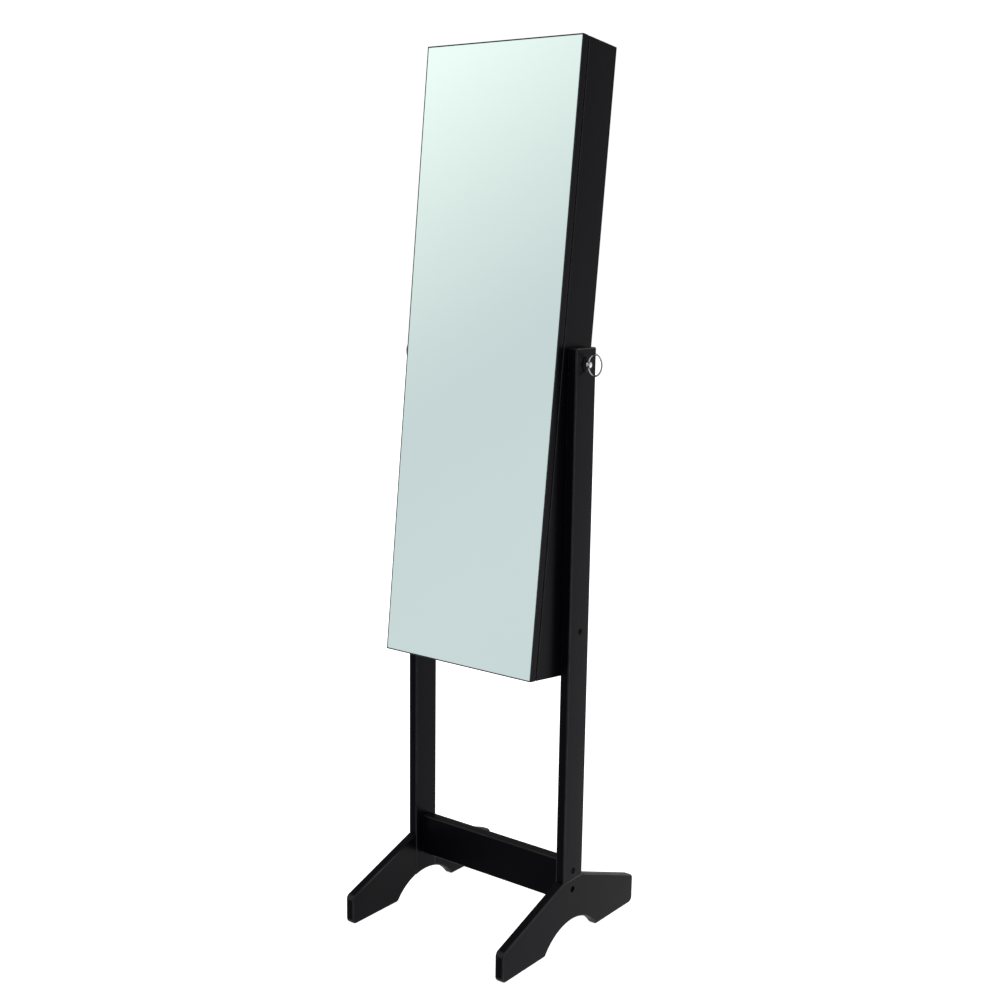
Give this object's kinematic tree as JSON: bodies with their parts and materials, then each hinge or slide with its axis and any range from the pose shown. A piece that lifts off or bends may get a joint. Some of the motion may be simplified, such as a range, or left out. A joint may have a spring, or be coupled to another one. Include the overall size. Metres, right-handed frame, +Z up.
{
  "type": "cheval floor mirror",
  "caption": "Free-standing black cheval mirror: a leaning mirrored-door jewellery cabinet that tilts between two posts on arched feet, clamped by ring bolts.",
  "frame": {"origin": "on the floor, midway between the four foot ends, under the tilt axis", "axes": "+Z up, +X to the viewer's right, +Y to the back; the mirror faces -Y and leans its top towards +Y"},
  "size_m": [0.4014, 0.381, 1.4579],
  "materials": {
    "black_lacquer": "satin black lacquer on fibreboard",
    "silvered_glass": "polished silvered glass with a faint green edge tint",
    "chrome": "polished plating",
    "zinc_steel": "dull black zinc",
    "brass": "machined",
    "black_velvet": "short pile velvet",
    "hardboard": "painted hardboard",
    "nylon": "moulded",
    "black_plastic": "moulded satin"
  },
  "bodies": {
    "stand": {"left_foot": "black_lacquer", "right_foot": "black_lacquer", "left_post": "black_lacquer", "right_post": "black_lacquer", "lower_rail": "black_lacquer", "upper_rail": "black_lacquer", "left_lower_bolt": "zinc_steel", "left_middle_bolt": "zinc_steel", "left_upper_bolt": "zinc_steel", "right_lower_bolt": "zinc_steel", "right_middle_bolt": "zinc_steel", "right_upper_bolt": "zinc_steel", "left_lower_barrel_nut": "zinc_steel", "left_middle_barrel_nut": "zinc_steel", "left_upper_barrel_nut": "zinc_steel", "right_lower_barrel_nut": "zinc_steel", "right_middle_barrel_nut": "zinc_steel", "right_upper_barrel_nut": "zinc_steel", "left_spacer": "nylon", "right_spacer": "nylon"},
    "cabinet": {"left_wall": "black_lacquer", "right_wall": "black_lacquer", "cabinet_top": "black_lacquer", "cabinet_bottom": "black_lacquer", "back_panel": "hardboard", "back_lining": "black_velvet", "left_pivot_block": "black_lacquer", "right_pivot_block": "black_lacquer", "left_insert": "brass", "right_insert": "brass", "shelf_upper": "black_lacquer", "shelf_middle": "black_lacquer", "shelf_lower": "black_lacquer", "hook_rail": "chrome", "ring_roll_1": "black_velvet", "ring_roll_2": "black_velvet", "ring_roll_3": "black_velvet", "earring_bar_upper": "black_plastic", "earring_bar_lower": "black_plastic", "bracelet_rod": "chrome", "upper_magnet": "black_plastic", "lower_magnet": "black_plastic", "upper_hinge_frame_leaf": "zinc_steel", "middle_hinge_frame_leaf": "zinc_steel", "lower_hinge_frame_leaf": "zinc_steel", "upper_hinge_pin": "zinc_steel", "middle_hinge_pin": "zinc_steel", "lower_hinge_pin": "zinc_steel"},
    "door": {"door_panel": "black_lacquer", "mirror_glass": "silvered_glass", "door_lining": "black_velvet", "upper_strike": "zinc_steel", "lower_strike": "zinc_steel", "upper_hinge_door_leaf": "zinc_steel", "middle_hinge_door_leaf": "zinc_steel", "lower_hinge_door_leaf": "zinc_steel"},
    "left_ring_bolt": {"left_ring_bolt": "chrome"},
    "right_ring_bolt": {"right_ring_bolt": "chrome"}
  },
  "joints": [
    {"name": "cabinet_tilt", "type": "hinge", "parent": "stand", "child": "cabinet", "pos_m": [0, 0, 0.97], "axis": [-1, 0, 0], "range_deg": [0, 30]},
    {"name": "door_swing", "type": "hinge", "parent": "cabinet", "child": "door", "pos_m": [-0.1545, -0.03849, 0.97405], "axis": [0, -0.1045, -0.9945], "range_deg": [0, 110]},
    {"name": "left_ring_turn", "type": "hinge", "parent": "stand", "child": "left_ring_bolt", "pos_m": [-0.1705, 0, 0.97], "axis": [-1, 0, 0], "continuous": true},
    {"name": "right_ring_turn", "type": "hinge", "parent": "stand", "child": "right_ring_bolt", "pos_m": [0.1705, 0, 0.97], "axis": [1, 0, 0], "continuous": true}
  ]
}
